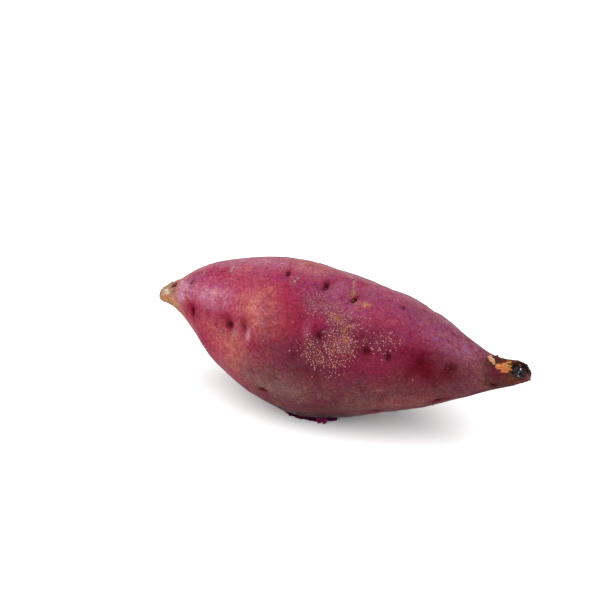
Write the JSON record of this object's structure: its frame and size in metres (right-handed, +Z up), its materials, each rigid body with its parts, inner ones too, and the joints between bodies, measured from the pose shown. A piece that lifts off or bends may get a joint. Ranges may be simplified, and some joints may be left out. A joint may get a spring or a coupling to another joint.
{
  "type": "sweet potato",
  "caption": "Whole purple-skinned sweet potato lying on its belly: a spindle-shaped root with sunken eyes, a corky tail tip and a broken hollow crown.",
  "frame": {"origin": "on the surface that the root lies on, under the middle of its box", "axes": "+X along the root from its tail to its crown, +Z up, -Y towards the front"},
  "size_m": [0.1676, 0.065, 0.0622],
  "materials": {
    "skin": "satin, thin raw root skin: magenta-purple with a pale bloom, golden lenticel specks, corky tan tail and dark broken crown"
  },
  "bodies": {
    "root": {"sweet_potato_root": "skin"}
  },
  "joints": []
}
